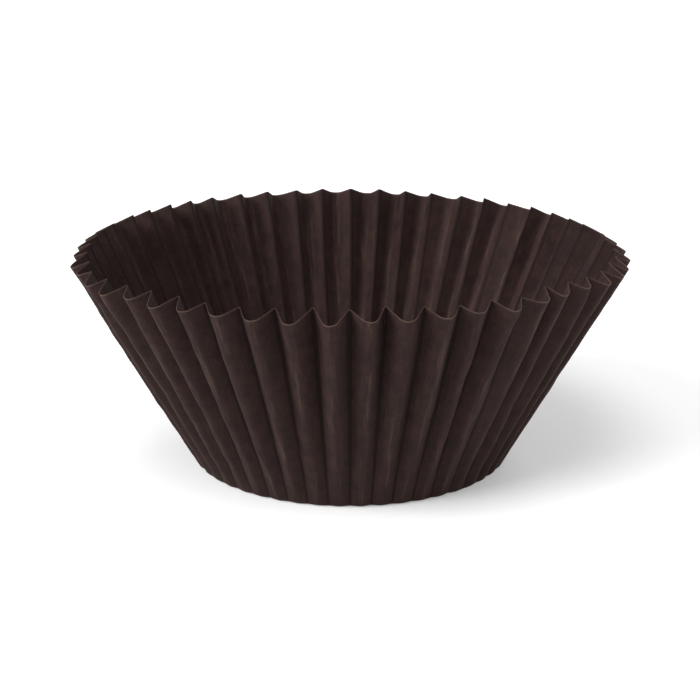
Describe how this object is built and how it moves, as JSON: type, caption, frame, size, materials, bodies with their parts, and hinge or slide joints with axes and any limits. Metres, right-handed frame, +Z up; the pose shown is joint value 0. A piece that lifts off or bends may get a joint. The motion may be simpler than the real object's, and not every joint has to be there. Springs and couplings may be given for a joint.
{
  "type": "cupcake liner",
  "caption": "Fluted dark brown paper baking cup with a flat round base and a wall that leans outwards to a cut rim.",
  "frame": {"origin": "centre of the flat base's underside, on the surface that the liner stands on", "axes": "+Z up along the axis of the cup, towards the open rim; +X through the crest of one flute"},
  "size_m": [0.0866, 0.0864, 0.0348],
  "materials": {
    "brown_paper": "matte"
  },
  "bodies": {
    "root": {"liner": "brown_paper"}
  },
  "joints": []
}
